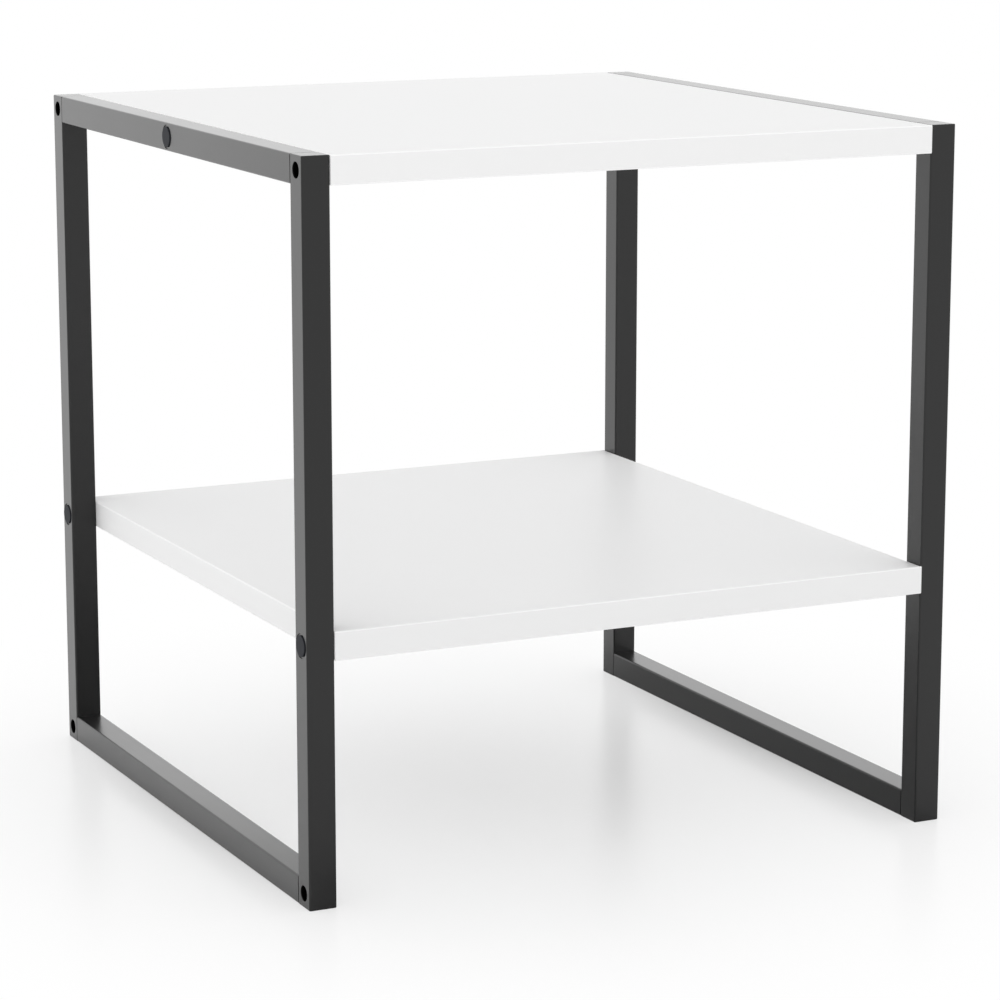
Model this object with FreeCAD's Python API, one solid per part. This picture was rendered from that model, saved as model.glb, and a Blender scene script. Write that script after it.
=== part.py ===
"""End table with a shelf: two square-tube steel side frames that carry a white top board
and a white shelf between them. Millimetres, +Z up, front at -Y, left at -X.
The origin is on the floor, in the middle of the table's footprint.

Each side frame is knocked down: the rails butt against the legs, and a connector pressed
into each rail end reaches through a window into the leg, where a bolt pins it.
"""
import FreeCAD, Part
import math
import os

Vector = FreeCAD.Vector

# ---- overall sizes -------------------------------------------------------------------
width = 497.0  # over both side frames, along X
depth = 495.0  # over the front and rear legs, along Y
height = 508.0  # floor to the top faces of frames and top board

# ---- square steel tube ---------------------------------------------------------------
tube = 20.0  # outside of the square tube
tube_wall = 1.2
tube_corner = 1.3  # outside corner radius of the tube

# ---- plates that close the ends of the legs ------------------------------------------
plate = 1.5  # thickness of the plate outside the tube
plate_round = 0.8  # rounding of the plate's outer rim
spigot = 1.5  # how far the plate's step reaches into the tube
spigot_fit = 0.15  # clearance of the step in the tube, each side

# ---- boards and their edge bands -----------------------------------------------------
top_thickness = 20.0
shelf_thickness = 20.0
shelf_height = 191.5  # floor to the top face of the shelf
board_overhang = 1.0  # how far the boards stand out past the legs, front and rear
band = 1.2  # thickness of the edge band
band_round = 1.0  # rounding of the band's long outer edges

# ---- M6 button-head bolts ------------------------------------------------------------
thread = 6.0
head_diameter = 10.5
head_height = 3.3
head_round = 2.0
socket_across = 4.0  # hex socket, across flats
socket_depth = 2.0
tip_chamfer = 0.6
corner_bolt = 25.0  # under the head, connector into top board
board_bolt = 20.0  # under the head, tube wall into board
bolt_clearance = 0.3  # round a thread in a plain hole, each side
thread_fit = 0.1  # round a thread in a nut or insert, each side
head_clearance = 0.25  # round a head in its access hole, each side
tip_clearance = 0.5  # between a bolt's tip and what lies ahead of it
drill_relief = 2.0  # hole left beyond the tip in a board

# ---- connectors in the rail ends -----------------------------------------------------
plug_length = 22.0  # inside the rail
plug_fit = 0.15  # clearance in the rail's bore, each side
plug_chamfer = 1.0
tongue_thickness = 4.0
tongue_height = 11.0
tongue_reach = 15.0  # from the rail's end into the leg
window_clearance = 0.2  # round the tongue in the leg's wall

# ---- weld nuts in the feet of the legs -----------------------------------------------
nut_side = 10.0
nut_thickness = 4.5

# ---- threaded inserts in the board edges ---------------------------------------------
insert_diameter = 9.0
insert_length = 13.0
insert_recess = 0.5  # below the face of the edge band
insert_fit = 0.1  # clearance in the drilled hole, each side
groove_depth = 0.4  # ring grooves that hold the insert in the board
groove_width = 1.0
groove_pitch = 3.0

# ---- snap-in cover caps and the seats pressed into the tube for them -------------------
seat_diameter = 17.2
seat_depth = 0.6
cap_diameter = 14.6
cap_thickness = 1.35
cap_round = 0.3
stem_fit = 0.15  # clearance in the access hole, each side
stem_wall = 1.5
barb_length = 2.6
barb_height = 0.3  # beyond the access hole's edge
barb_taper = 0.9  # how much the barb narrows towards its tip, each side
finger_slot = 1.4

# ---- sizes that follow ---------------------------------------------------------------
bore = tube - 2 * tube_wall
bore_corner = max(tube_corner - tube_wall, 0.0)
bolt_hole = thread + 2 * bolt_clearance
threaded_hole = thread + 2 * thread_fit
access_hole = head_diameter + 2 * head_clearance
foot_bolt = nut_thickness + tongue_thickness - tip_clearance
rail_centre_low = tube / 2
rail_centre_high = height - tube / 2
board_gap = width - 2 * tube  # between the two side frames
rail_length = depth - 2 * tube
shelf_middle = shelf_height - shelf_thickness / 2
inboard_face = tube - tube_wall  # inner side of the tube's inboard wall, from outside
edge_round = min(band_round, 0.9 * band)

leg_middle = tube / 2  # centre line of a leg or rail, inward of the outer face

SIDES = {"left": -1, "right": 1}  # sign of X
ENDS = {"front": -1, "rear": 1}  # sign of Y
LEVELS = {"bottom": rail_centre_low, "top": rail_centre_high}


# ---- places and plain shapes ---------------------------------------------------------
def at_x(side, inward):
    """X of a plane that lies this far inward from the outer face of a side frame."""
    return side * (width / 2 - inward)


def at_y(end, inward):
    """Y of a plane that lies this far inward from the outer face of the front or rear legs."""
    return end * (depth / 2 - inward)


def block(x, y, z):
    """Box between two X, two Y and two Z values, given in any order."""
    low = Vector(min(x), min(y), min(z))
    return Part.makeBox(max(x) - min(x), max(y) - min(y), max(z) - min(z), low)


def runs_along(edge, axis):
    """True for a straight edge that is parallel to the axis."""
    start, end = edge.Vertexes[0].Point, edge.Vertexes[-1].Point
    run = end - start
    return run.Length > 0 and abs(abs(run.dot(axis)) - run.Length) < 1e-6


def rounded_block(x, y, z, axis, radius):
    """Box whose four edges along the axis are rounded."""
    shape = block(x, y, z)
    if radius <= 0:
        return shape
    return shape.makeFillet(radius, [e for e in shape.Edges if runs_along(e, axis)])


def pin(diameter, side, y, z, start, end):
    """Cylinder along X, from one distance inward of the side frame's outer face to another."""
    base = Vector(at_x(side, start), y, z)
    return Part.makeCylinder(diameter / 2, end - start, base, Vector(-side, 0, 0))


def cone(diameter_start, diameter_end, side, y, z, start, end):
    """Tapered pin along X, between two distances inward of the side frame's outer face."""
    base = Vector(at_x(side, start), y, z)
    inwards = Vector(-side, 0, 0)
    return Part.makeCone(diameter_start / 2, diameter_end / 2, end - start, base, inwards)


def carve(shape, cutters):
    """The one solid that is left of a shape after the cutters."""
    return shape.cut(cutters).removeSplitter().Solids[0]


def rim(shape, side, inward):
    """Edges of a turned shape that lie in the X plane this far inward."""
    x = at_x(side, inward)
    return [e for e in shape.Edges if abs(e.CenterOfMass.x - x) < 1e-6]


# ---- steel frames --------------------------------------------------------------------
def capped_hole(side, y, z):
    """Cutters for an access hole with the shallow round seat of its cap."""
    return [
        pin(access_hole, side, y, z, 0, tube_wall),
        pin(seat_diameter, side, y, z, 0, min(seat_depth, 0.9 * tube_wall)),
    ]


def leg(side, end):
    """Full-height tube with its windows for the connectors and its bolt holes."""
    z = (plate, height - plate)
    outer = rounded_block(
        (at_x(side, 0), at_x(side, tube)),
        (at_y(end, 0), at_y(end, tube)),
        z, Vector(0, 0, 1), tube_corner,
    )
    inner = rounded_block(
        (at_x(side, tube_wall), at_x(side, inboard_face)),
        (at_y(end, tube_wall), at_y(end, inboard_face)),
        z, Vector(0, 0, 1), bore_corner,
    )
    y = at_y(end, leg_middle)
    cuts = [inner]
    for level, centre in LEVELS.items():
        cuts.append(window(side, end, level, centre))
        cuts.append(pin(access_hole, side, y, centre, 0, tube_wall))
    cuts.append(pin(bolt_hole, side, y, rail_centre_high, inboard_face, tube))
    cuts += capped_hole(side, y, shelf_middle)
    cuts.append(pin(bolt_hole, side, y, shelf_middle, inboard_face, tube))
    return carve(outer, cuts)


def tongue_face(level):
    """How far inward of the frame's outer face the tongue's inboard face lies."""
    return inboard_face - (nut_thickness if level == "bottom" else 0)


def window(side, end, level, centre):
    """Opening in the leg's rail-facing wall that lets the connector's tongue through."""
    face = tongue_face(level)
    inner_edge = face if level == "top" else face + window_clearance
    outer_edge = face - tongue_thickness - window_clearance
    half = tongue_height / 2 + window_clearance
    return block(
        (at_x(side, outer_edge), at_x(side, inner_edge)),
        (at_y(end, inboard_face - bore_corner), at_y(end, tube)),
        (centre - half, centre + half),
    )


def rail(side, level):
    """Tube between the front and rear legs. A top rail also has the middle bolt's holes."""
    centre = LEVELS[level]
    y = (-rail_length / 2, rail_length / 2)
    outer = rounded_block(
        (at_x(side, 0), at_x(side, tube)), y,
        (centre - tube / 2, centre + tube / 2), Vector(0, 1, 0), tube_corner,
    )
    inner = rounded_block(
        (at_x(side, tube_wall), at_x(side, inboard_face)), y,
        (centre - bore / 2, centre + bore / 2), Vector(0, 1, 0), bore_corner,
    )
    cuts = [inner]
    if level == "top":
        cuts += capped_hole(side, 0, centre)
        cuts.append(pin(bolt_hole, side, 0, centre, inboard_face, tube))
    return carve(outer, cuts)


def connector(side, end, level):
    """Block pressed into the rail's end, with a tongue that a bolt pins inside the leg."""
    centre = LEVELS[level]
    half = bore / 2 - plug_fit
    plug_end = tube + plug_length
    plug = block(
        (at_x(side, leg_middle - half), at_x(side, leg_middle + half)),
        (at_y(end, tube), at_y(end, plug_end)),
        (centre - half, centre + half),
    )
    lead = [e for e in plug.Edges if abs(e.CenterOfMass.y - at_y(end, plug_end)) < 1e-6]
    plug = plug.makeChamfer(plug_chamfer, lead)
    face = tongue_face(level)
    tongue = block(
        (at_x(side, face - tongue_thickness), at_x(side, face)),
        (at_y(end, tube - tongue_reach), at_y(end, tube)),
        (centre - tongue_height / 2, centre + tongue_height / 2),
    )
    hole = pin(bolt_hole, side, at_y(end, leg_middle), centre, face - tongue_thickness, face)
    return carve(plug.fuse(tongue), [hole])


def end_plate(side, end, level):
    """Plate that closes a leg's end, with a step that centres it in the tube."""
    outside = 0.0 if level == "bottom" else height
    up = 1 if level == "bottom" else -1
    cover = rounded_block(
        (at_x(side, 0), at_x(side, tube)), (at_y(end, 0), at_y(end, tube)),
        (outside, outside + up * plate), Vector(0, 0, 1), tube_corner,
    )
    outer_rim = [e for e in cover.Edges if abs(e.CenterOfMass.z - outside) < 1e-6]
    cover = cover.makeFillet(min(plate_round, 0.9 * plate, 0.9 * tube_corner), outer_rim)
    start, stop = tube_wall + spigot_fit, inboard_face - spigot_fit
    step = block(
        (at_x(side, start), at_x(side, stop)), (at_y(end, start), at_y(end, stop)),
        (outside + up * plate, outside + up * (plate + spigot)),
    )
    return cover.fuse(step).removeSplitter().Solids[0]


# ---- boards --------------------------------------------------------------------------
def board_holes(places):
    """Blind holes in both side edges of a board: the insert's seat, then the bolt's way.

    Each place is the hole's Y and Z, and how far inward of the side frame the bolt's tip lies.
    """
    holes = []
    for side in SIDES.values():
        for y, z, tip in places:
            seat_end = tube + insert_recess + insert_length
            holes.append(pin(insert_diameter + 2 * insert_fit, side, y, z, tube, seat_end))
            holes.append(pin(bolt_hole, side, y, z, tube, max(tip, seat_end) + drill_relief))
    return holes


def board(top, thickness, places, name):
    """Core and four edge bands of a board, drilled for its inserts."""
    x, y = board_gap / 2, depth / 2 + board_overhang
    z = (top - thickness, top)
    holes = board_holes(places)
    core = block((-x + band, x - band), (-y + band, y - band), z)
    pieces = {f"{name}_board": carve(core, holes)}
    for end_name, end in ENDS.items():
        strip = block((-x, x), (end * y, end * (y - band)), z)
        long_edges = [
            e for e in strip.Edges
            if runs_along(e, Vector(1, 0, 0)) and abs(e.CenterOfMass.y - end * y) < 1e-6
        ]
        pieces[f"{name}_band_{end_name}"] = strip.makeFillet(edge_round, long_edges)
    for side_name, side in SIDES.items():
        strip = block((side * x, side * (x - band)), (-y + band, y - band), z)
        long_edges = [
            e for e in strip.Edges
            if runs_along(e, Vector(0, 1, 0)) and abs(e.CenterOfMass.x - side * x) < 1e-6
        ]
        pieces[f"{name}_band_{side_name}"] = carve(strip.makeFillet(edge_round, long_edges), holes)
    return pieces


# ---- fasteners -----------------------------------------------------------------------
def hexagon(across, side, y, z, start, end):
    """Hexagonal prism along X, between two distances inward of the side frame's outer face."""
    radius = across / math.sqrt(3)
    x = at_x(side, start)
    angles = [math.radians(60 * k) for k in range(7)]
    points = [Vector(x, y + radius * math.cos(a), z + radius * math.sin(a)) for a in angles]
    return Part.Face(Part.makePolygon(points)).extrude(Vector(-side * (end - start), 0, 0))


def bolt(side, y, z, seat, length):
    """Button-head bolt whose head sits on a face this far inward of the frame's outer face."""
    head_top = seat - head_height
    head = pin(head_diameter, side, y, z, head_top, seat)
    head = head.makeFillet(min(head_round, 0.9 * head_height), rim(head, side, head_top))
    shank = pin(thread, side, y, z, seat, seat + length)
    shank = shank.makeChamfer(tip_chamfer, rim(shank, side, seat + length))
    socket = hexagon(socket_across, side, y, z, head_top, head_top + socket_depth)
    return carve(head.fuse(shank), [socket])


def weld_nut(side, end):
    """Square nut welded inside the foot of a leg, against its inboard wall."""
    y, z = at_y(end, leg_middle), rail_centre_low
    start = inboard_face - nut_thickness
    half = nut_side / 2
    body = block(
        (at_x(side, start), at_x(side, inboard_face)), (y - half, y + half), (z - half, z + half)
    )
    return carve(body, [pin(threaded_hole, side, y, z, start, inboard_face)])


def insert(side, y, z):
    """Threaded sleeve in a board's edge, with ring grooves that grip the board."""
    start = tube + insert_recess
    end = start + insert_length
    body = pin(insert_diameter, side, y, z, start, end)
    cuts = [pin(threaded_hole, side, y, z, start, end)]
    groove_start = start + groove_pitch
    while groove_start + groove_width < end - groove_width:
        ring = pin(insert_diameter + 1, side, y, z, groove_start, groove_start + groove_width)
        neck = insert_diameter - 2 * groove_depth
        cuts.append(ring.cut(pin(neck, side, y, z, groove_start, groove_start + groove_width)))
        groove_start += groove_pitch
    return carve(body, cuts)


def cap(side, y, z):
    """Snap-in cover: a disc in its seat on the tube and four barbed fingers in the hole."""
    seat = min(seat_depth, 0.9 * tube_wall)
    face = seat - cap_thickness
    disc = pin(cap_diameter, side, y, z, face, seat)
    disc = disc.makeFillet(min(cap_round, 0.9 * cap_thickness), rim(disc, side, face))
    stem_diameter = access_hole - 2 * stem_fit
    barb_start = tube_wall + stem_fit
    barb_end = barb_start + barb_length
    stem = pin(stem_diameter, side, y, z, seat, barb_start)
    barb_wide = access_hole + 2 * barb_height
    barb = cone(barb_wide, stem_diameter - 2 * barb_taper, side, y, z, barb_start, barb_end)
    hollow = pin(stem_diameter - 2 * stem_wall, side, y, z, seat, barb_end)
    reach = barb_wide
    x = (at_x(side, seat), at_x(side, barb_end))
    half = finger_slot / 2
    slots = [
        block(x, (y - half, y + half), (z - reach, z + reach)),
        block(x, (y - reach, y + reach), (z - half, z + half)),
    ]
    fingers = stem.fuse(barb).cut([hollow] + slots)
    return disc.fuse(fingers).removeSplitter().Solids[0]


# ---- the table -----------------------------------------------------------------------
def build():
    """Every node of the table by name. A group of like fasteners is one node."""
    parts = {}
    groups = {
        name: [] for name in (
            "corner_bolts_top", "corner_bolts_bottom", "shelf_bolts", "rail_bolts",
            "weld_nuts", "top_inserts", "shelf_inserts",
        )
    }
    corner_seat = tongue_face("top") - tongue_thickness
    foot_seat = tongue_face("bottom") - tongue_thickness
    corner_tip = corner_seat + corner_bolt
    board_tip = inboard_face + board_bolt

    for side_name, side in SIDES.items():
        for level in LEVELS:
            parts[f"{level}_rail_{side_name}"] = rail(side, level)
        parts[f"cap_rail_{side_name}"] = cap(side, 0, rail_centre_high)
        groups["rail_bolts"].append(bolt(side, 0, rail_centre_high, inboard_face, board_bolt))
        groups["top_inserts"].append(insert(side, 0, rail_centre_high))
        for end_name, end in ENDS.items():
            where = f"{end_name}_{side_name}"
            y = at_y(end, leg_middle)
            parts[f"leg_{where}"] = leg(side, end)
            parts[f"leg_top_plate_{where}"] = end_plate(side, end, "top")
            parts[f"leg_foot_plate_{where}"] = end_plate(side, end, "bottom")
            parts[f"connector_top_{where}"] = connector(side, end, "top")
            parts[f"connector_bottom_{where}"] = connector(side, end, "bottom")
            parts[f"cap_shelf_{where}"] = cap(side, y, shelf_middle)
            groups["corner_bolts_top"].append(
                bolt(side, y, rail_centre_high, corner_seat, corner_bolt)
            )
            groups["corner_bolts_bottom"].append(
                bolt(side, y, rail_centre_low, foot_seat, foot_bolt)
            )
            groups["shelf_bolts"].append(bolt(side, y, shelf_middle, inboard_face, board_bolt))
            groups["weld_nuts"].append(weld_nut(side, end))
            groups["top_inserts"].append(insert(side, y, rail_centre_high))
            groups["shelf_inserts"].append(insert(side, y, shelf_middle))

    leg_lines = [at_y(end, leg_middle) for end in ENDS.values()]
    top_places = [(y, rail_centre_high, corner_tip) for y in leg_lines]
    top_places.append((0, rail_centre_high, board_tip))
    shelf_places = [(y, shelf_middle, board_tip) for y in leg_lines]
    parts.update(board(height, top_thickness, top_places, "top"))
    parts.update(board(shelf_height, shelf_thickness, shelf_places, "shelf"))
    parts.update({name: Part.makeCompound(shapes) for name, shapes in groups.items()})
    return parts


os.makedirs("parts", exist_ok=True)
for node, shape in build().items():
    shape.exportStep(f"parts/{node}.step")
    print(f"{node}: {len(shape.Solids)} solid(s), valid {shape.isValid()}, {shape.Volume:.0f} mm3")
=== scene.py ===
# %% [markdown]
# # End table with a shelf
# Two side frames of black square steel tube hold a white top board and a white shelf. The
# frames come apart: each rail butts against two legs, and bolts that go in through holes in
# the outer face hold them together. A construction model already gives every piece its size
# and its place. This notebook gives every piece its finished shape and its surface, then
# sets up a plain studio and a camera.

# %% Load the construction model
import math

import bmesh
import bpy
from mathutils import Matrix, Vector


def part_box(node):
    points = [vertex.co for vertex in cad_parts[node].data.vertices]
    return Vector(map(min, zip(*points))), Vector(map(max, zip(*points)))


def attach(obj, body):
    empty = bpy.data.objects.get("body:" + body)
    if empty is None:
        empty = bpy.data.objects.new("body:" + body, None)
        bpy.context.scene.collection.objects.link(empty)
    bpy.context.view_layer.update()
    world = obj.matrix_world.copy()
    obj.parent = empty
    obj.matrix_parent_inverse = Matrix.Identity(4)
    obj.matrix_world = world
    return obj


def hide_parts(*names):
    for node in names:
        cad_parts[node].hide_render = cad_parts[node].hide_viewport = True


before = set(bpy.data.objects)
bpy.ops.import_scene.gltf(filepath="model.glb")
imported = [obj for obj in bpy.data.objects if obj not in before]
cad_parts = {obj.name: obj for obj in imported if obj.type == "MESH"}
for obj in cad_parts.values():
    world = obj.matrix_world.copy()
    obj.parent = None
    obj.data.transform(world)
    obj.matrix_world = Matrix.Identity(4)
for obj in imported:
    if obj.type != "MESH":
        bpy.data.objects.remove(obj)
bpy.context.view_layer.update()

# %% [markdown]
# ## Sizes of the frame and the boards
# A piece only fits its neighbours if both take their sizes from one place. Whatever the
# boxes of the construction model tell is read from them: the tube, the plates, the heights
# and the lines on which the legs and rails lie. What a box can't show, such as the wall of
# a tube or the rounding of an edge, is written once, in metres, in the cell that first
# needs it.

# %% Sizes of the frame and the boards
MM = 0.001
leg_low, leg_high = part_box("leg_front_left")
rail_low, rail_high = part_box("top_rail_left")
table_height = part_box("leg_top_plate_front_left")[1].z

tube = leg_high.x - leg_low.x
tube_wall = 1.2 * MM
tube_corner = 1.3 * MM
plate = leg_low.z
outer_x = leg_low.x  # outer face of the left frame
leg_line = (leg_low.y + leg_high.y) / 2  # centre line of the front legs
rail_centre_high = (rail_low.z + rail_high.z) / 2
rail_centre_low = tube / 2
shelf_middle = sum(corner.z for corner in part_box("shelf_board")) / 2
print(f"tube {tube / MM:.1f} mm, plate {plate / MM:.1f} mm, height {table_height / MM:.0f} mm")

# %% [markdown]
# ## Sizes of the fasteners
# Every bolt lies along X, so its parts are measured as depths inward of the frame's outer
# face: where the head sits, where the tube's inner wall is, how far the tip reaches. A hole
# is a little wider than what passes through it.

# %% Sizes of the fasteners and their holes
access_hole = 11.0 * MM  # lets a bolt's head through the outer wall
bolt_hole = 6.6 * MM
seat_depth = 0.6 * MM  # of the shallow seat that is pressed into the tube for a cap
tongue_thickness = 4.0 * MM
tongue_height = 11.0 * MM
nut_thickness = 4.5 * MM
corner_bolt = 25.0 * MM  # lengths, from under the head to the tip
board_bolt = 20.0 * MM
foot_bolt = 8.0 * MM
inboard_face = tube - tube_wall  # depth at which the tube's inner wall begins
corner_seat = inboard_face - tongue_thickness  # the head lies on a connector's tongue
foot_seat = corner_seat - nut_thickness  # in a foot, a nut lies behind the tongue
print(f"corner bolts seat {corner_seat / MM:.1f} mm deep, in the feet {foot_seat / MM:.1f} mm")

# %% [markdown]
# ## Modelling by hand, in code
# The shapes are made with the tools that the menus offer: add a primitive at its size and
# place, pick faces or edges, then bevel, inset, extrude or bridge them. With no mouse,
# picking is done by a test on each face or edge, such as "runs along Z". A tool acts on all
# that is selected, so the helpers first deselect everything else.

# %% Helpers for selecting
X, Y, Z = 0, 1, 2
aligned = 0.999  # cosine above which a direction counts as along an axis
same_place = 0.01 * MM  # corners nearer to a plane than this lie in it


def select_only(piece):
    """Make this the one selected and active object."""
    bpy.ops.object.select_all(action="DESELECT")
    piece.select_set(True)
    bpy.context.view_layer.objects.active = piece


def pick(piece, kind, test):
    """Enter edit mode with only the faces or edges that pass the test selected."""
    if bpy.context.mode != "EDIT_MESH":
        select_only(piece)
        bpy.ops.object.mode_set(mode="EDIT")
    bpy.ops.mesh.select_mode(type=kind)
    bpy.ops.mesh.select_all(action="DESELECT")
    mesh = bmesh.from_edit_mesh(piece.data)
    found = [item for item in {"FACE": mesh.faces, "EDGE": mesh.edges}[kind] if test(item)]
    for item in found:
        item.select_set(True)
    bmesh.update_edit_mesh(piece.data)
    return len(found)


def done():
    """Leave edit mode."""
    bpy.ops.object.mode_set(mode="OBJECT")


# %% Tests for picking
def along(axis):
    """Test for edges that run along an axis."""
    def test(edge):
        run = edge.verts[1].co - edge.verts[0].co
        return abs(run[axis]) > aligned * run.length
    return test


def facing(axis, sign=None):
    """Test for faces that look along an axis, either way or only towards one sign."""
    def test(face):
        part = face.normal[axis]
        return abs(part) > aligned and (sign is None or part * sign > 0)
    return test


def lying_in(axis, place):
    """Test for edges or faces whose corners all lie in the plane at this place."""
    return lambda item: all(abs(v.co[axis] - place) < same_place for v in item.verts)


def both(first, second):
    """Test that joins two tests."""
    return lambda item: first(item) and second(item)


# %% [markdown]
# ## Adding and cutting
# A block is a cube stretched between two corners. A rod is a cylinder along X, the way all
# the bolts and holes run here. Drilling is done as in a workshop: a cutter is put in place
# and a Boolean modifier, applied at once, takes it out of the piece. Faces could be pushed
# in by hand instead, but a cutter makes a round hole in a wall of any shape.

# %% Helpers for adding
def settle(name):
    """Put the new object's place, turn and size into its mesh, and name it."""
    bpy.ops.object.transform_apply(location=True, rotation=True, scale=True)
    bpy.context.object.name = name
    return bpy.context.object


def add_block(name, low, high):
    """Box between two corners."""
    low, high = Vector(low), Vector(high)
    bpy.ops.object.select_all(action="DESELECT")
    bpy.ops.mesh.primitive_cube_add(size=1, location=(low + high) / 2, scale=high - low)
    return settle(name)


def add_rod(name, diameter, start, end, y, z, sides=64):
    """Cylinder along X, from one depth inward of the left frame's outer face to another."""
    bpy.ops.object.select_all(action="DESELECT")
    bpy.ops.mesh.primitive_cylinder_add(
        vertices=sides, radius=diameter / 2, depth=end - start,
        location=(outer_x + (start + end) / 2, y, z), rotation=(0, math.pi / 2, 0),
    )
    return settle(name)


# %% Helpers for cutting and rounding
overshoot = 1.0 * MM  # how far a cutter runs on past a face, so that it cuts it cleanly


def remove(piece):
    """Delete an object that has done its work."""
    select_only(piece)
    bpy.ops.object.delete()


def apply_modifier(piece, kind, **settings):
    """Add a modifier, set it and apply it."""
    modifier = piece.modifiers.new(kind.title(), kind)
    for key, value in settings.items():
        setattr(modifier, key, value)
    select_only(piece)
    bpy.ops.object.modifier_apply(modifier=modifier.name)


def cut(piece, cutters):
    """Take the cutters out of the piece, as drills and punches would."""
    for cutter in cutters:
        apply_modifier(piece, "BOOLEAN", operation="DIFFERENCE", solver="EXACT", object=cutter)
        remove(cutter)


def round_edges(piece, radius, segments, test):
    """Bevel the edges that pass the test into an arc, and give their number."""
    count = pick(piece, "EDGE", test)
    bpy.ops.mesh.bevel(offset=radius, segments=segments, profile=0.5)
    done()
    return count


# %% [markdown]
# ## Turning a profile by hand
# A turned part such as a cap or a bolt has one round end face. Pushing that face along X
# and scaling it about the axis, again and again, gives shoulders, cones and hollows. The
# scale needs its centre spelled out, because there is no window whose pivot it could use.

# %% Helper for turned shapes
def turn_end(piece, y, z, steps):
    """Carry the inner end face through (depth, diameter) steps, the first its own."""
    depth, size = steps[0]
    pick(piece, "FACE", both(facing(X, 1), lying_in(X, outer_x + depth)))
    for new_depth, new_size in steps[1:]:
        bpy.ops.mesh.extrude_region_move(
            TRANSFORM_OT_translate={"value": (new_depth - depth, 0, 0)}
        )
        bpy.ops.transform.resize(
            value=(1, new_size / size, new_size / size),
            center_override=(outer_x + new_depth, y, z),
        )
        depth, size = new_depth, new_size
    done()


# %% [markdown]
# ## Copies and shading
# Left and right, front and rear are mirror images, so each piece is modelled once, at the
# front left, and copied. A Mirror modifier would keep the images in one object, and here
# each piece stays its own. A mirrored mesh is inside out, so its normals are made to point
# outwards again. Then curved parts are shaded smooth. Weighted normals keep the large flat
# faces flat, and leave the bend of the light to the narrow rounded edges.

# %% Helpers for copies and shading
smooth_below = math.radians(34)  # gentler angles between faces are shaded smooth


def mirrored(piece, name, flip=(1, 1, 1), move=(0, 0, 0)):
    """Copy with its own mesh, mirrored through the table's middle planes, then moved."""
    select_only(piece)
    bpy.ops.object.duplicate(linked=False)
    bpy.context.object.scale = flip
    bpy.context.object.location = move
    copy = settle(name)
    pick(copy, "FACE", lambda face: True)
    bpy.ops.mesh.normals_make_consistent(inside=False)
    done()
    return copy


def shade(piece):
    """Smooth across gentle angles, crisp across sharp ones, flat faces kept flat."""
    select_only(piece)
    bpy.ops.object.shade_smooth_by_angle(angle=smooth_below)
    apply_modifier(piece, "WEIGHTED_NORMAL", keep_sharp=True, weight=100)


# %% Helper for finished pieces
finished = []


def finish_piece(piece, material, slot, *nodes):
    """Shade and paint a piece, and let it stand for its nodes of the construction model."""
    shade(piece)
    piece.data.materials.clear()
    piece.data.materials.append(material)
    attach(piece, "root")
    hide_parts(*nodes)
    finished.append(piece)


# %% [markdown]
# ## Writing a material as a sum
# A surface pattern is arithmetic on positions. To keep it readable, a small class stands
# for a socket and turns + - * into Math nodes. Every other node comes from one method that
# takes the node's type, its settings and its inputs.

# %% The socket class
class Socket:
    """An output socket that can be used in Python arithmetic."""

    def __init__(self, finish, output):
        self.finish = finish
        self.output = output

    def math(self, operation, *values):
        """Math node of this operation on values, which may be sockets or numbers."""
        numbered = dict(enumerate(values))
        return self.finish.node("ShaderNodeMath", {"operation": operation}, numbered)

    def __add__(self, other):
        return self.math("ADD", self, other)

    def __rsub__(self, other):
        return self.math("SUBTRACT", other, self)

    def __mul__(self, other):
        return self.math("MULTIPLY", self, other)

    __radd__ = __add__
    __rmul__ = __mul__


# %% The finish class
class Finish:
    """A node tree being built, for a material or for the world."""

    def __init__(self, owner):
        owner.use_nodes = True
        self.tree = owner.node_tree
        self.tree.nodes.clear()

    def add(self, kind, settings=None, inputs=None):
        """A new node with its settings and inputs. Settings come first."""
        new = self.tree.nodes.new(kind)
        for key, value in (settings or {}).items():
            setattr(new, key, value)
        for key, value in (inputs or {}).items():
            if isinstance(value, Socket):
                self.tree.links.new(value.output, new.inputs[key])
            else:
                new.inputs[key].default_value = value
        return new

    def node(self, kind, settings=None, inputs=None, output=0):
        """A new node, given by the output that is asked for."""
        new = self.add(kind, settings, inputs)
        return Socket(self, new.outputs[output]) if new.outputs else None

    def axes(self, vector):
        """The X, Y and Z of a vector."""
        separate = self.add("ShaderNodeSeparateXYZ", None, {0: vector})
        return [Socket(self, part) for part in separate.outputs]


def grey(value):
    """Plain grey of this level, white at 1."""
    return (value, value, value, 1)


# %% [markdown]
# ## One recipe for slightly uneven surfaces
# No real coat or board has exactly one tone. A slow drift makes it a little lighter here
# and darker there, and changes its gloss with it, while finer noise gives the relief that
# makes reflections waver. A picture could be wrapped round the pieces for this, but noise
# that is worked out has no seams and stays sharp from close by. All of it reads Object
# coordinates, so it stays on the piece. A value that is the same everywhere is set on the
# shader itself.

# %% Patterns and mixed colours
def noise(made, size, detail):
    """Pattern whose patches are about this size, in metres."""
    place = made.node("ShaderNodeTexCoord", output="Object")
    return made.node(
        "ShaderNodeTexNoise", inputs={"Vector": place, "Scale": 1 / size, "Detail": detail}
    )


def mix(made, share, low, high):
    """Colour between two colours or sockets."""
    return made.node(
        "ShaderNodeMix", {"data_type": "RGBA"}, {0: share, 6: low, 7: high}, output=2
    )


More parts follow.
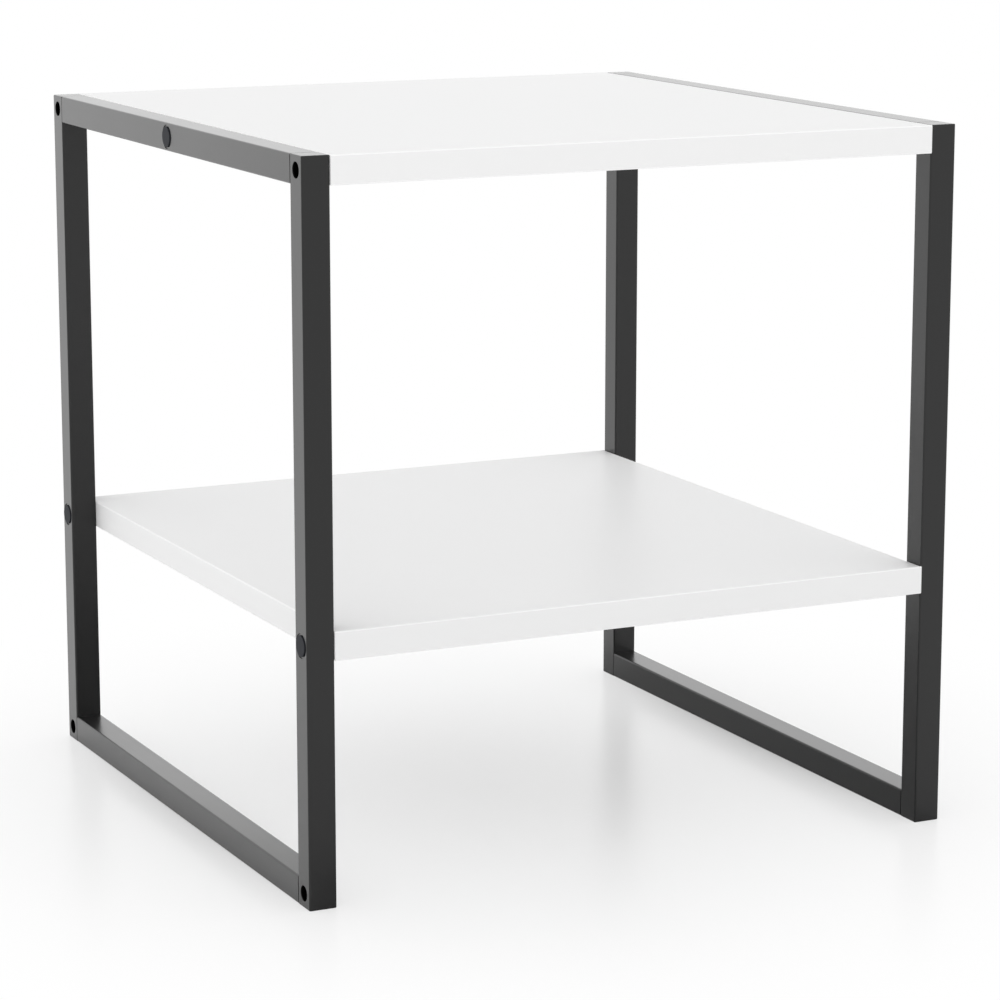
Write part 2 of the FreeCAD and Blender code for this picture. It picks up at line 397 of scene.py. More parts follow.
# %% Recipe for a surface
def surface(name, colour, rough, rough_swing, grains, drift, tint, corner=None, **shader):
    """Material of one colour whose tone, gloss and relief vary a little.

    grains holds (size, height) of each relief pattern, and drift is the size of the slow
    pattern. It carries the roughness by rough_swing, and the tone by the share tint, either
    way. corner is a lighter colour painted on rounded corners as a highlight, if any.
    """
    material = bpy.data.materials.new(name)
    made = Finish(material)
    slow = noise(made, drift, detail=3.0)
    relief = sum(noise(made, size, detail=2.0) * height for size, height in grains)
    darker = tuple(part * (1 - tint) for part in colour) + (1,)
    lighter = tuple(part * (1 + tint) for part in colour) + (1,)
    tone = mix(made, slow, darker, lighter)
    # painted highlight: the rounded corners take the lighter corner colour
    if corner:
        tone = mix(made, painted_highlight_on_corners(made), tone, corner)
    body = made.node("ShaderNodeBsdfPrincipled", inputs={
        "Base Color": tone,
        "Roughness": slow * (2 * rough_swing) + (rough - rough_swing),
        "Normal": made.node("ShaderNodeBump", inputs={"Height": relief, "Distance": 1.0}),
        **shader,
    })
    made.node("ShaderNodeOutputMaterial", inputs={"Surface": body})
    print(name, "roughness", rough, "relief", [f"{height / MM:.4f} mm" for _, height in grains])
    return material


# %% [markdown]
# ## Black powder coat
# The frame is sprayed with black powder that is melted on in an oven. It flows into a very
# slight orange peel, a millimetre or so across, under a thin clear skin. A black coat shows
# almost nothing of its own colour: what is seen is the room, faintly at a right angle and
# strongly at a glancing one. Two thin layers of low refraction, one above the other, give
# that steep rise, where one layer of ordinary gloss would look grey all over.

# %% Powder coat
powder_coat = surface(
    "black_powder_coat", (0.003, 0.003, 0.003), rough=0.3, rough_swing=0.03,
    grains=[(1.4 * MM, 0.006 * MM), (0.35 * MM, 0.002 * MM)], drift=60 * MM, tint=0.12,
    **{"Specular IOR Level": 0.24, "Coat Weight": 1.0, "Coat Roughness": 0.27, "Coat IOR": 1.345},
)

# %% [markdown]
# ## White melamine
# The boards are particle board under a paper soaked in melamine resin, pressed hard and
# slightly pebbled, so it is matt and shows next to no reflection except at a flat angle.
# Its relief is only a few thousandths of a millimetre high. The common recipe is enough,
# with next to no drift: a stronger pattern would turn the board into paper or plaster.

# %% Melamine faces
melamine = surface(
    "white_melamine", (0.895, 0.895, 0.895), rough=0.4, rough_swing=0.03,
    grains=[(1.1 * MM, 0.004 * MM), (0.4 * MM, 0.0015 * MM)], drift=90 * MM, tint=0.004,
    **{"Specular IOR Level": 0.1},
)

# %% [markdown]
# ## White edge band
# The edges wear a plastic strip that is glued on, milled to a small radius and scraped
# clean. Its rounded corner is painted a hair brighter than the faces: a painted highlight,
# which draws the fine light line along each board. The corners could be picked and given a
# second material. A mask from the normal finds them by itself: a flat face looks straight
# along one axis, so the greatest part of its normal is 1, and on the rounding it is less.

# %% Edge band
# Thresholds of the painted highlight on rounded corners.
flat_part = 0.999  # greatest part of the normal on a flat face, with a little to spare
round_part = 0.96  # and where the rounding has its full tone


def painted_highlight_on_corners(made):
    """Painted highlight mask: 1 where a surface looks between two axes, 0 straight along one."""
    parts = made.axes(made.node("ShaderNodeTexCoord", output="Normal"))
    x, y, z = [part.math("ABSOLUTE", part) for part in parts]
    straight = x.math("MAXIMUM", x, y.math("MAXIMUM", y, z))
    return made.node("ShaderNodeMapRange", inputs={0: straight, 1: flat_part, 2: round_part})


edge_band = surface(
    # 0.872 sits a little below the melamine's white: partly painted shade on fronts and sides
    "white_edge_band", (0.872, 0.872, 0.872), rough=0.38, rough_swing=0.03,
    # corner: a painted highlight, near white along each rounded edge
    grains=[(1.6 * MM, 0.004 * MM)], drift=70 * MM, tint=0.004, corner=grey(0.98),
    **{"Specular IOR Level": 0.1},
)

# %% [markdown]
# ## Cap plastic
# The caps are moulded in dark grey plastic, matt from a fine spark-eroded mould, so they
# stand out a little paler and duller than the coat around them. The coat's layers in grey
# would still shine at a glancing angle, so the plastic is one rough layer without a skin.

# %% Cap plastic
cap_plastic = surface(
    "dark_cap_plastic", (0.0195, 0.0212, 0.0265), rough=0.6, rough_swing=0.03,
    grains=[(0.6 * MM, 0.002 * MM)], drift=12 * MM, tint=0.08,
    **{"Specular IOR Level": 0.2},
)

# %% [markdown]
# ## Fastener metals
# Deep in the frame are blackened bolts, bright zinc nuts, brass inserts and dull zinc
# connectors. They are metals, so Metallic is 1 and the colour is that of the reflection.
# Each drifts a little in tone and gloss over a few millimetres, as plated parts do. Paint
# could have the same tones, but only a metal tints what it mirrors.

# %% Fastener metals
black_oxide = surface(
    "black_oxide", (0.05, 0.05, 0.052), rough=0.36, rough_swing=0.05,
    grains=[(0.5 * MM, 0.001 * MM)], drift=4 * MM, tint=0.15, Metallic=1.0,
)
bright_zinc = surface(
    "bright_zinc", (0.55, 0.56, 0.57), rough=0.32, rough_swing=0.06,
    grains=[(0.8 * MM, 0.001 * MM)], drift=5 * MM, tint=0.1, Metallic=1.0,
)
plain_brass = surface(
    "plain_brass", (0.72, 0.52, 0.22), rough=0.3, rough_swing=0.05,
    grains=[(0.6 * MM, 0.001 * MM)], drift=5 * MM, tint=0.08, Metallic=1.0,
)
zinc_steel = surface(
    "zinc_plated_steel", (0.46, 0.46, 0.47), rough=0.4, rough_swing=0.06,
    grains=[(0.7 * MM, 0.002 * MM)], drift=8 * MM, tint=0.1, Metallic=1.0,
)

# %% [markdown]
# ## Square tube
# The tube is rolled from strip, so its corners are small arcs and its wall is thin. A block
# is rounded along its four long edges, both ends are inset by the wall, and the two inner
# outlines are bridged: that removes the ends and builds the bore in one go. A Boolean could
# hollow it as well, but bridging leaves plain strips that shade evenly. The wall is nearly
# as thick as the corner's radius, so the inset's own corner points crowd together, and they
# are merged first.

# %% Square tube
corner_segments = 6  # the end plates have as many, so that their outline is the tube's


def square_tube(name, low, high, axis):
    """Hollow square tube with rounded corners, along one axis."""
    piece = add_block(name, low, high)
    round_edges(piece, tube_corner, corner_segments, along(axis))
    pick(piece, "FACE", facing(axis))
    bpy.ops.mesh.inset(thickness=tube_wall, depth=0)
    bpy.ops.mesh.remove_doubles(threshold=0.1 * MM)
    bpy.ops.mesh.bridge_edge_loops()
    done()
    return piece


leg = square_tube("leg_front_left_tube", leg_low, leg_high, Z)
rails = {}
for level in ("top", "bottom"):
    low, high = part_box(f"{level}_rail_left")
    rails[level] = square_tube(f"{level}_rail_left_tube", low, high, Y)
print("tube faces:", len(leg.data.polygons))

# %% [markdown]
# ## Holes in the legs
# The outer face of a leg has three access holes for the bolts' heads. The two at the
# corners stay open. The one at the shelf has a shallow pressed seat that its cap covers.
# The inner face has plain holes for the bolts of the boards. Towards each rail the wall has
# a punched window, through which the rail's connector reaches into the leg. The top rail
# has one capped hole at its middle. The holes could be drawn on the faces one by one. They
# are cut instead, with cutters placed by the same values as the bolts and the tongues, so
# that no hole misses what passes through it.

# %% Punches and drills
window_clearance = 0.2 * MM
seat_diameter = 17.2 * MM


def window(low_side, high_side, centre):
    """Punch for the opening that lets a connector's tongue into the leg."""
    half = tongue_height / 2 + window_clearance
    return add_block(
        "punch",
        (outer_x + low_side, leg_high.y - 2 * tube_wall, centre - half),
        (outer_x + high_side, leg_high.y + tube_wall, centre + half),
    )


def wall_drills(y, z, seat=False, inner=False):
    """Drills at one place of the tube: the outer wall, its cap seat, and the inner wall."""
    drills = [add_rod("drill", access_hole, -overshoot, 2 * tube_wall, y, z)]
    if seat:
        drills.append(add_rod("drill", seat_diameter, -overshoot, seat_depth, y, z))
    if inner:
        drills.append(
            add_rod("drill", bolt_hole, tube - 2 * tube_wall, tube + overshoot, y, z)
        )
    return drills


# %% Holes of the leg and the top rail
cut(leg, wall_drills(leg_line, rail_centre_low))
cut(leg, wall_drills(leg_line, shelf_middle, seat=True, inner=True))
cut(leg, wall_drills(leg_line, rail_centre_high, inner=True))
cut(leg, [
    window(corner_seat - window_clearance, inboard_face, rail_centre_high),
    window(
        foot_seat - window_clearance, foot_seat + tongue_thickness + window_clearance,
        rail_centre_low,
    ),
])
cut(rails["top"], wall_drills(0, rail_centre_high, seat=True, inner=True))
print("leg faces after drilling:", len(leg.data.polygons))

# %% [markdown]
# ## Soft rims
# Powder doesn't hold on a knife edge: the coat pulls round the rim of an open hole. So the
# rims of the two open access holes get a small bevel. A Bevel modifier that goes by angle
# would take every sharp edge of the leg, so the rims are picked: they are the edges in the
# outer face that lie within reach of a hole's centre.

# %% Rims of the open holes
rim_round = 0.25 * MM


def rim_of_hole(centres):
    """Test for the edges of the access holes in the left frame's outer face."""
    flat = lying_in(X, outer_x)
    reach = access_hole / 2 + 0.1 * MM  # a hair more than the hole's radius

    def test(edge):
        middle = (edge.verts[0].co + edge.verts[1].co) / 2
        near = any(math.hypot(middle.y - y, middle.z - z) < reach for y, z in centres)
        return near and flat(edge)
    return test


open_holes = [(leg_line, z) for z in (rail_centre_low, rail_centre_high)]
print("rim edges:", round_edges(leg, rim_round, 3, rim_of_hole(open_holes)))

# %% [markdown]
# ## End plates
# A flat plate closes each end of a leg. It is welded on and ground, so its outer rim is
# round and its corners follow the tube. Under it a low step drops into the tube. The step
# is an inset of the lower face, pushed down, so plate and step are one mesh, where a second
# block would leave hidden faces between them. The foot's plate is the top one upside down.

# %% End plates
plate_round = 0.8 * MM
step_height = 1.5 * MM  # how far the step reaches into the tube
step_fit = 0.15 * MM


def end_plate(name):
    """Plate for the top of the front left leg."""
    low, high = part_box("leg_top_plate_front_left")
    piece = add_block(name, (low.x, low.y, high.z - plate), high)
    round_edges(piece, tube_corner, corner_segments, along(Z))
    round_edges(piece, plate_round, 4, lying_in(Z, high.z))
    pick(piece, "FACE", facing(Z, -1))
    bpy.ops.mesh.inset(thickness=tube_wall + step_fit, depth=0)
    bpy.ops.mesh.remove_doubles(threshold=0.2 * MM)
    bpy.ops.mesh.extrude_region_move(TRANSFORM_OT_translate={"value": (0, 0, -step_height)})
    done()
    return piece


top_plate = end_plate("leg_top_plate_front_left_coated")
foot_plate = mirrored(
    top_plate, "leg_foot_plate_front_left_coated", (1, 1, -1), (0, 0, table_height)
)
print("plate size:", [round(v / MM, 2) for v in top_plate.dimensions])

# %% [markdown]
# ## The frame's copies
# Four legs, eight plates and four rails come from five models. Each copy is mirrored
# through the middle of the table, keeps a mesh of its own, and takes over its node of the
# construction model. Modelling each one by itself would give the same pieces, but every
# mend would then have to be made sixteen times.

# %% Copies of the frame's pieces
FLIPS = {
    "front_left": (1, 1, 1), "rear_left": (1, -1, 1),
    "front_right": (-1, 1, 1), "rear_right": (-1, -1, 1),
}


def four_corners(piece, node, material, slot):
    """The front left piece and its three mirror images, each standing for its node."""
    ending = piece.name.rsplit("_", 1)[1]
    copies = {"front_left": piece}
    for where, flip in FLIPS.items():
        if where not in copies:
            copies[where] = mirrored(piece, f"{node}_{where}_{ending}", flip)
    for where, copy in copies.items():
        finish_piece(copy, material, slot, f"{node}_{where}")


four_corners(leg, "leg", powder_coat, "black_powder_coat")
four_corners(top_plate, "leg_top_plate", powder_coat, "black_powder_coat")
four_corners(foot_plate, "leg_foot_plate", powder_coat, "black_powder_coat")
for level, rail in rails.items():
    other = mirrored(rail, f"{level}_rail_right_tube", FLIPS["front_right"])
    finish_piece(rail, powder_coat, "black_powder_coat", f"{level}_rail_left")
    finish_piece(other, powder_coat, "black_powder_coat", f"{level}_rail_right")
print("frame pieces:", len(finished))

# %% [markdown]
# ## Drilling the boards
# A bolt holds in a threaded insert that sits in the board's edge. Its hole is stepped: wide
# for the insert, then narrow for the bolt's tip. The drill is a rod whose end is turned
# down to the smaller size: two plain rods would need two cuts for every hole. The top board
# has three holes on each side, the shelf two.

# %% Drills for the boards
insert_hole = 9.2 * MM
insert_seat = 13.5 * MM  # from the band's face to the insert's inner end
drill_relief = 2.0 * MM  # hole left ahead of a bolt's tip


def drill_for_insert(y, z, tip):
    """Stepped drill: the insert's seat, then the way for the bolt's tip."""
    shoulder = tube + insert_seat
    end = max(tip, shoulder) + drill_relief
    drill = add_rod("drill", insert_hole, tube - overshoot, shoulder, y, z)
    turn_end(drill, y, z, [(shoulder, insert_hole), (shoulder, bolt_hole), (end, bolt_hole)])
    return drill


def drills_for_board(z, places):
    """Drills for both sides of a board, at (y, depth of the tip)."""
    left = [drill_for_insert(y, z, tip) for y, tip in places]
    return left + [mirrored(drill, "drill", FLIPS["front_right"]) for drill in left]


corner_tip = corner_seat + corner_bolt
board_tip = inboard_face + board_bolt
BOARDS = {
    "top": (rail_centre_high, [(leg_line, corner_tip), (-leg_line, corner_tip), (0, board_tip)]),
    "shelf": (shelf_middle, [(leg_line, board_tip), (-leg_line, board_tip)]),
}
print(f"tips reach {corner_tip / MM:.1f} and {board_tip / MM:.1f} mm deep")

# %% [markdown]
# ## Board cores
# The core is the plain middle of a board between its four bands. A saw leaves a hair of a
# chamfer on it, and that gives the fine joint line beside each band. The whole board could
# be one block with lines painted on it, but a real gap takes a real shadow from any side.

# %% Board cores
saw_chamfer = 0.1 * MM
for name, (z, places) in BOARDS.items():
    core = add_block(f"{name}_board_core", *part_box(f"{name}_board"))
    round_edges(core, saw_chamfer, 1, lambda edge: True)
    cut(core, drills_for_board(z, places))
    finish_piece(core, melamine, "white_board", f"{name}_board")
    print(name, "board:", [round(v / MM, 1) for v in core.dimensions])

# %% [markdown]
# ## Edge bands
# Each band is a strip with its two long outer edges milled round. Only those two are picked
# for the bevel, by their place, because the ends and the glued side stay sharp. The strips
# at the sides face the frames, so the insert holes pass through them too.

# %% Edge bands
band_round = 1.0 * MM


def edge_strip(name, side, across, sign, drills=()):
    """Band on one side of a board, its outer face towards the sign of the axis across."""
    lengthwise = X if across == Y else Y
    low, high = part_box(f"{name}_band_{side}")
    strip = add_block(f"{name}_band_{side}_strip", low, high)
    outside = (low if sign < 0 else high)[across]
    round_edges(strip, band_round, 5, both(along(lengthwise), lying_in(across, outside)))
    cut(strip, drills)
    finish_piece(strip, edge_band, "white_edge_band", f"{name}_band_{side}")


for name, (z, places) in BOARDS.items():
    edge_strip(name, "front", Y, -1)
    edge_strip(name, "rear", Y, 1)
    edge_strip(name, "left", X, -1, drills_for_board(z, places))
    edge_strip(name, "right", X, 1, drills_for_board(z, places))
print("frame and board pieces:", len(finished))

# %% [markdown]
# ## Snap-in caps
# A cap is a disc with a hollow stem behind it. Two crossing slots split the stem into four
# fingers, which spring inwards through the hole and snap out behind the wall with a small
# barb. The disc's rim is rounded, and the stem is turned out of its back face. Spin could
# sweep the same outline, but would leave a seam and a pole to mend.

# %% Cap sizes
cap_low, cap_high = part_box("cap_rail_left")
cap_diameter = cap_high.y - cap_low.y
cap_proud = outer_x - cap_low.x
cap_round = 0.3 * MM
stem_fit = 0.15 * MM
finger_wall = 1.5 * MM
finger_slot = 1.4 * MM
barb_length = 2.6 * MM
barb_height = 0.3 * MM  # past the rim of the hole
barb_taper = 0.9 * MM  # how far the tip is drawn in from the stem
stem = access_hole - 2 * stem_fit
stem_bore = stem - 2 * finger_wall
barb = access_hole + 2 * barb_height
barb_tip = stem - 2 * barb_taper
barb_depth = tube_wall + stem_fit
barb_end = barb_depth + barb_length
stem_floor = seat_depth + 0.1 * MM  # bottom of the hollow
finger_root = seat_depth + 0.2 * MM  # bottom of the slots
print(f"cap {cap_diameter / MM:.1f} mm, {cap_proud / MM:.2f} mm proud, stem {stem / MM:.1f} mm")

# %% Caps
def snap_cap(name, y, z):
    """Cap for the left frame, at one place along it."""
    piece = add_rod(name, cap_diameter, -cap_proud, seat_depth, y, z)
    round_edges(piece, cap_round, 4, lying_in(X, outer_x - cap_proud))
    turn_end(piece, y, z, [
        (seat_depth, cap_diameter), (seat_depth, stem), (barb_depth, stem),
        (barb_depth, barb), (barb_end, barb_tip), (barb_end, stem_bore),
        (stem_floor, stem_bore),
    ])
    start, end = outer_x + finger_root, outer_x + barb_end + overshoot
    half = finger_slot / 2
    cut(piece, [
        add_block("saw", (start, y - half, z - barb), (end, y + half, z + barb)),
        add_block("saw", (start, y - barb, z - half), (end, y + barb, z + half)),
    ])
    return piece


cap_places = {
    "cap_rail_left": (0, rail_centre_high),
    "cap_shelf_front_left": (leg_line, shelf_middle),
    "cap_shelf_rear_left": (-leg_line, shelf_middle),
}
for node, (y, z) in cap_places.items():
    piece = snap_cap(f"{node}_moulded", y, z)
    twin_node = node.replace("left", "right")
    twin = mirrored(piece, f"{twin_node}_moulded", FLIPS["front_right"])
    finish_piece(piece, cap_plastic, "dark_cap_plastic", node)
    finish_piece(twin, cap_plastic, "dark_cap_plastic", twin_node)
print("cap faces:", len(piece.data.polygons))

# %% [markdown]
# ## Button-head bolts
# All bolts are M6 with a low round head, blackened. The head is a short rod with a wide
# bevel. Shank and thread are turned out of its under face: each half pitch the profile
# steps in or out by the thread's depth. A real thread winds round, but at this size rings
# look the same, and they keep the mesh clean. The hexagon socket is cut with a six-sided
# rod, whose corners lie further apart than its flats.

# %% Bolt
fastener_sides = 48
head_diameter = 10.5 * MM
head_height = 3.3 * MM
head_round = 2.0 * MM
thread = 6.0 * MM
thread_pitch = 1.0 * MM
thread_depth = 0.5 * MM
tip_chamfer = 0.6 * MM
socket_across = 4.0 * MM  # between flats
socket_depth = 2.0 * MM


def bolt(name, y, z, seat, length):
    """Bolt along X with the under face of its head at this depth."""
    top, tip = seat - head_height, seat + length
    piece = add_rod(name, head_diameter, top, seat, y, z, fastener_sides)
    round_edges(piece, head_round, 6, lying_in(X, outer_x + top))
    profile = [(seat, head_diameter), (seat, thread)]
    for turn in range(1, int((length - tip_chamfer) / thread_pitch)):
        start = seat + turn * thread_pitch
        profile += [(start, thread), (start + thread_pitch / 2, thread - 2 * thread_depth)]
    profile += [
        (start + thread_pitch, thread), (tip - tip_chamfer, thread),
        (tip, thread - 2 * tip_chamfer),
    ]
    turn_end(piece, y, z, profile)
    socket_corners = socket_across / math.cos(math.radians(30))
    cut(piece, [
        add_rod("key", socket_corners, top - overshoot, top + socket_depth, y, z, sides=6)
    ])
    return piece


# %% [markdown]
# ## Groups of fasteners
# Like fasteners form one node of the construction model, so their copies are joined into
# one object. One is modelled for each kind of place, and its mirror images fill the rest.

# %% Bolts in their places
def everywhere(piece, flips):
    """A fastener and its mirror images."""
    return [piece] + [mirrored(piece, "copy", flip) for flip in flips if flip != (1, 1, 1)]


def grouped(pieces, node, ending, material, slot):
    """Join like fasteners into one object for their group's node."""
    select_only(pieces[0])
    for piece in pieces:
        piece.select_set(True)
    bpy.ops.object.join()
    pieces[0].name = f"{node}_{ending}"
    print(node, "faces:", len(pieces[0].data.polygons))
    finish_piece(pieces[0], material, slot, node)


CORNER_FLIPS = list(FLIPS.values())
SIDE_FLIPS = [FLIPS["front_left"], FLIPS["front_right"]]
bolt_places = {
    "corner_bolts_top": (leg_line, rail_centre_high, corner_seat, corner_bolt),
    "corner_bolts_bottom": (leg_line, rail_centre_low, foot_seat, foot_bolt),
    "shelf_bolts": (leg_line, shelf_middle, inboard_face, board_bolt),
    "rail_bolts": (0, rail_centre_high, inboard_face, board_bolt),
}
for node, place in bolt_places.items():
    flips = SIDE_FLIPS if node == "rail_bolts" else CORNER_FLIPS
    bolts = everywhere(bolt(f"{node}_m6", *place), flips)
    grouped(bolts, node, "m6", black_oxide, "black_oxide_bolt")

# %% [markdown]
# ## Weld nuts
# In each foot a square nut is welded to the inside of the tube, and the corner bolt draws
# the connector against it. A nut is a block with softened edges. Its bore is cut with a
# tap whose ends flare, which leaves the usual countersink on both faces. Bevelling the rims
# after a straight cut would do it too, but one cutter keeps bore and flares in line.

# %% Tap
threaded_hole = 6.2 * MM
countersink = 0.5 * MM


def tap(start, end, y, z):
    """Cutter for a threaded bore between two depths, with a countersink at both ends."""
    wide = threaded_hole + 2 * (countersink + overshoot)
    cutter = add_rod(
        "tap", wide, start - 2 * overshoot, start - overshoot, y, z, fastener_sides
    )
    turn_end(cutter, y, z, [
        (start - overshoot, wide), (start + countersink, threaded_hole),
        (end - countersink, threaded_hole), (end + overshoot, wide),
    ])
    return cutter


# %% Weld nuts
nut_side = 10.0 * MM
nut_round = 0.35 * MM
nut_half = nut_side / 2
nut = add_block(
    "weld_nuts_square",
    (outer_x + inboard_face - nut_thickness, leg_line - nut_half, rail_centre_low - nut_half),
    (outer_x + inboard_face, leg_line + nut_half, rail_centre_low + nut_half),
)
round_edges(nut, nut_round, 2, lambda edge: True)
cut(nut, [tap(inboard_face - nut_thickness, inboard_face, leg_line, rail_centre_low)])
grouped(everywhere(nut, CORNER_FLIPS), "weld_nuts", "square", bright_zinc, "zinc_nut")

# %% [markdown]
# ## Threaded inserts
# An insert is a brass sleeve that is pressed into the board's edge, a little below the
# band. Ring grooves round it bite into the board. It is turned from a short rod: straight
# for one pitch, then in and out for every groove. Grooves could be cut out with rings as
# well, but turning makes them all in one list of steps.

# %% Insert
insert_diameter = 9.0 * MM
insert_recess = 0.5 * MM  # from the band's face to the insert's outer end
insert_start = tube + insert_recess
insert_end = tube + insert_seat
groove_count = 3
groove_depth = 0.4 * MM
groove_width = 1.0 * MM
groove_pitch = 3.0 * MM


def insert(name, y, z):
    """Insert for one hole in a board's left edge."""
    neck = insert_diameter - 2 * groove_depth
    grooves = [insert_start + n * groove_pitch for n in range(1, groove_count + 1)]
    piece = add_rod(name, insert_diameter, insert_start, grooves[0], y, z, fastener_sides)
    profile = []
    for groove in grooves:
        profile += [
            (groove, insert_diameter), (groove, neck),
            (groove + groove_width, neck), (groove + groove_width, insert_diameter),
        ]
    turn_end(piece, y, z, profile + [(insert_end, insert_diameter)])
    cut(piece, [tap(insert_start, insert_end, y, z)])
    return piece


# %% Inserts in their places
shelf_insert = insert("shelf_insert", leg_line, shelf_middle)
corner_insert = insert("corner_insert", leg_line, rail_centre_high)
middle_insert = mirrored(corner_insert, "middle_insert", move=(0, -leg_line, 0))
top_inserts = everywhere(corner_insert, CORNER_FLIPS) + everywhere(middle_insert, SIDE_FLIPS)
shelf_inserts = everywhere(shelf_insert, CORNER_FLIPS)
grouped(top_inserts, "top_inserts", "sleeve", plain_brass, "brass_insert")
grouped(shelf_inserts, "shelf_inserts", "sleeve", plain_brass, "brass_insert")

# %% [markdown]
# ## Connectors
# A steel block is pressed into each rail's end. Its far end is chamfered, so that it finds
# its way in, and a flat tongue stands out of the other end, through the leg's window, to
# where the corner bolt passes. Block and tongue are two boxes that a union makes one,
# because the tongue is off centre and wouldn't extrude from the block's end as it is. A
# drill makes the bolt's hole.

# %% Connectors
plug_length = 22.0 * MM
plug_fit = 0.15 * MM
plug_chamfer = 1.0 * MM
tongue_reach = 15.0 * MM
tongue_round = 1.5 * MM
rail_end = leg_low.y + tube


def connector(name, seat, z):
    """Connector of the front left corner whose tongue's outer face lies at this depth."""
    middle, half = outer_x + tube / 2, tube / 2 - tube_wall - plug_fit
    piece = add_block(
        name,
        (middle - half, rail_end, z - half),
        (middle + half, rail_end + plug_length, z + half),
    )
    round_edges(piece, plug_chamfer, 1, lying_in(Y, rail_end + plug_length))
    tongue = add_block(
        "tongue",
        (outer_x + seat, rail_end - tongue_reach, z - tongue_height / 2),
        (outer_x + seat + tongue_thickness, rail_end + plug_chamfer, z + tongue_height / 2),
    )
    round_edges(tongue, tongue_round, 4, both(along(X), lying_in(Y, rail_end - tongue_reach)))
    apply_modifier(piece, "BOOLEAN", operation="UNION", solver="EXACT", object=tongue)
    remove(tongue)
    start, end = seat - overshoot, seat + tongue_thickness + overshoot
    cut(piece, [add_rod("drill", bolt_hole, start, end, leg_line, z)])
    return piece


connector_places = {
    "top": (corner_seat, rail_centre_high),
    "bottom": (foot_seat, rail_centre_low),
}
for level, place in connector_places.items():
    piece = connector(f"connector_{level}_front_left_steel", *place)
    four_corners(piece, f"connector_{level}", zinc_steel, "steel_connector")
    print(level, "connector faces:", len(piece.data.polygons))
print("all pieces:", len(finished))

# %% [markdown]
# ## Floor
# The table stands on a white sheet that runs off into a white room. Near the table the
# sheet shows the table's soft shadow and a faint blurred reflection. Further off it fades
# into plain white, so no horizon shows. A sheet curved up behind the table would hide the
# horizon too, but from one side only. The fade is a light of its own that only the camera
# sees, and reflections further out: it never lights the table. In black gloss the sheet is
# painted dark between the two frames, a painted shade that deepens the insides of the low
# rails and the feet, as the shade under a shelf would. Seen from below, the sheet is clear.

# %% Floor sheet
bpy.ops.object.select_all(action="DESELECT")
bpy.ops.mesh.primitive_circle_add(
    vertices=128, radius=3.0, fill_type="NGON", location=(0, 0, 0)
)
floor = settle("floor")
print("floor:", [round(v, 2) for v in floor.dimensions])

# %% Where the sheet fades
floor_white = bpy.data.materials.new("floor_white")
sheet = Finish(floor_white)
place = sheet.node("ShaderNodeTexCoord", output="Object")
from_middle = sheet.node("ShaderNodeVectorMath", {"operation": "LENGTH"}, {0: place}, output=1)
sideways, fore_and_aft, _ = [part.math("ABSOLUTE", part) for part in sheet.axes(place)]


def fade(distance, start, end):
    """0 where the distance is under start, 1 where it is past end, smooth between."""
    return sheet.node(
        "ShaderNodeMapRange", {"interpolation_type": "SMOOTHSTEP"},
        {0: distance, 1: start, 2: end},
    )


def light_path(made, *kinds):
    """1 for light paths of any of these kinds, and 0 for others."""
    found = sum(made.node("ShaderNodeLightPath", output=f"Is {kind} Ray") for kind in kinds)
    return found.math("MINIMUM", found, 1.0)


in_gloss = light_path(sheet, "Glossy", "Transmission")
white_share = fade(from_middle, start=0.0, end=0.6) * light_path(sheet, "Camera")
white_share = white_share + fade(from_middle, start=0.25, end=0.9) * in_gloss
# Mask of the painted shade: the middle of the sheet, between the frames and the feet.
past_frames = fade(sideways, start=0.2, end=0.27)
past_feet = fade(fore_and_aft, start=0.22, end=0.4)
painted_shade_between_frames = (1 - past_frames) * (1 - past_feet)

# %% Finish of the sheet
paper = grey(0.93)
# painted shade: dark grey that gloss sees on the sheet between the frames
painted_shade_paper = grey(0.25)
lit = sheet.node("ShaderNodeBsdfPrincipled", inputs={
    "Base Color": mix(sheet, painted_shade_between_frames * in_gloss, paper, painted_shade_paper),
    "Roughness": 0.25, "Specular IOR Level": 0.3,
})
glow = sheet.node("ShaderNodeEmission", inputs={"Color": grey(1), "Strength": 1.0})
upper = sheet.node("ShaderNodeMixShader", inputs={0: white_share, 1: lit, 2: glow})
clear = sheet.node("ShaderNodeBsdfTransparent")
from_below = sheet.node("ShaderNodeNewGeometry", output="Backfacing")
whole = sheet.node("ShaderNodeMixShader", inputs={0: from_below, 1: upper, 2: clear})
sheet.node("ShaderNodeOutputMaterial", inputs={"Surface": whole})
floor.data.materials.append(floor_white)
print("nodes in the floor's finish:", len(sheet.tree.nodes))

# %% [markdown]
# ## Light from all around
# The light is that of a white tent. It is a little stronger from the open sides than from
# overhead, so it also reaches in between the boards, and it leaves no hard shadow. A tent
# gives black gloss something white to mirror, where a few lamps would leave it streaked.
# The camera, gloss and glass see it as plain white. Only the light that falls on matt
# surfaces varies, which tells a board's top from its front.

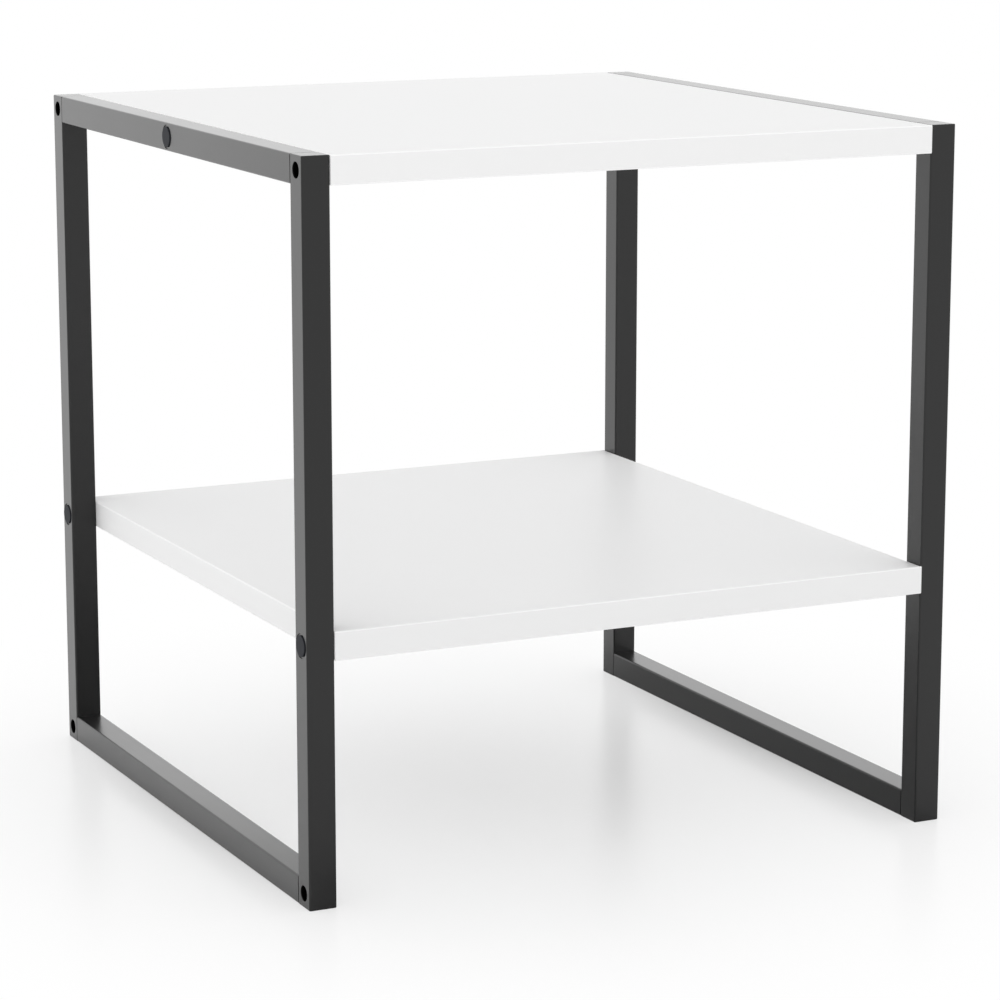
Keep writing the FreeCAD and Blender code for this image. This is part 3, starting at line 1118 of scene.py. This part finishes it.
# %% World
front_light = 1.18
less_overhead = 0.58
more_from_sides = 0.22
world = bpy.data.worlds.new("studio")
bpy.context.scene.world = world
tent = Finish(world)
to_side, _, up = tent.axes(tent.node("ShaderNodeTexCoord", output="Generated"))
light = front_light - up * up * less_overhead + to_side * to_side * more_from_sides
seen = light_path(tent, "Camera", "Glossy", "Transmission")
sky = tent.node("ShaderNodeBackground", inputs={
    "Color": grey(1), "Strength": light + (1 - light) * seen,
})
tent.node("ShaderNodeOutputWorld", inputs={"Surface": sky})
overhead_light, side_light = front_light - less_overhead, front_light + more_from_sides
print(f"overhead {overhead_light:.2f}, front {front_light:.2f}, sides {side_light:.2f}")

# %% [markdown]
# ## One soft box
# Behind the table stands a wide, dim soft box. It lights the table very little. Its work is
# in the gloss: every face that is seen at a glancing angle mirrors what is behind it, so
# the sides of the frame brighten gently towards the back and stand off from their fronts.

# %% Soft box
box_width, box_height = 6.0, 2.4
box_place = (0, 3.2, 1.25)
box_brightness = 0.15  # on top of the tent, where 1 is white
bpy.ops.object.select_all(action="DESELECT")
bpy.ops.object.light_add(
    type="AREA", location=box_place, rotation=(math.radians(90), 0, math.radians(180))
)
soft_box = bpy.context.object
soft_box.name = "soft_box"
soft_box.data.shape = "RECTANGLE"
soft_box.data.size = box_width
soft_box.data.size_y = box_height
soft_box.data.energy = box_brightness * math.pi * box_width * box_height
print(f"soft box: {soft_box.data.energy:.1f} W over {box_width * box_height:.1f} square metres")

# %% [markdown]
# ## Camera
# A long lens from a little above, at the front left, shows both frames, both boards and the
# open sides, with hardly any convergence. A short lens would have to stand close, and the
# legs would lean together.

# %% Camera
camera_place = (-1.1198, -2.3544, 0.7485)
degrees_down = 11.5725
degrees_right = 25.6796
bpy.ops.object.select_all(action="DESELECT")
bpy.ops.object.camera_add(
    location=camera_place,
    rotation=(math.radians(90 - degrees_down), 0, math.radians(-degrees_right)),
)
camera = bpy.context.object
camera.name = "camera"
camera.data.lens = 127.62
camera.data.clip_end = 50
bpy.context.scene.camera = camera
bpy.context.scene.view_settings.view_transform = "Standard"
print("camera", [round(v, 3) for v in camera.location], "lens", round(camera.data.lens, 1), "mm")
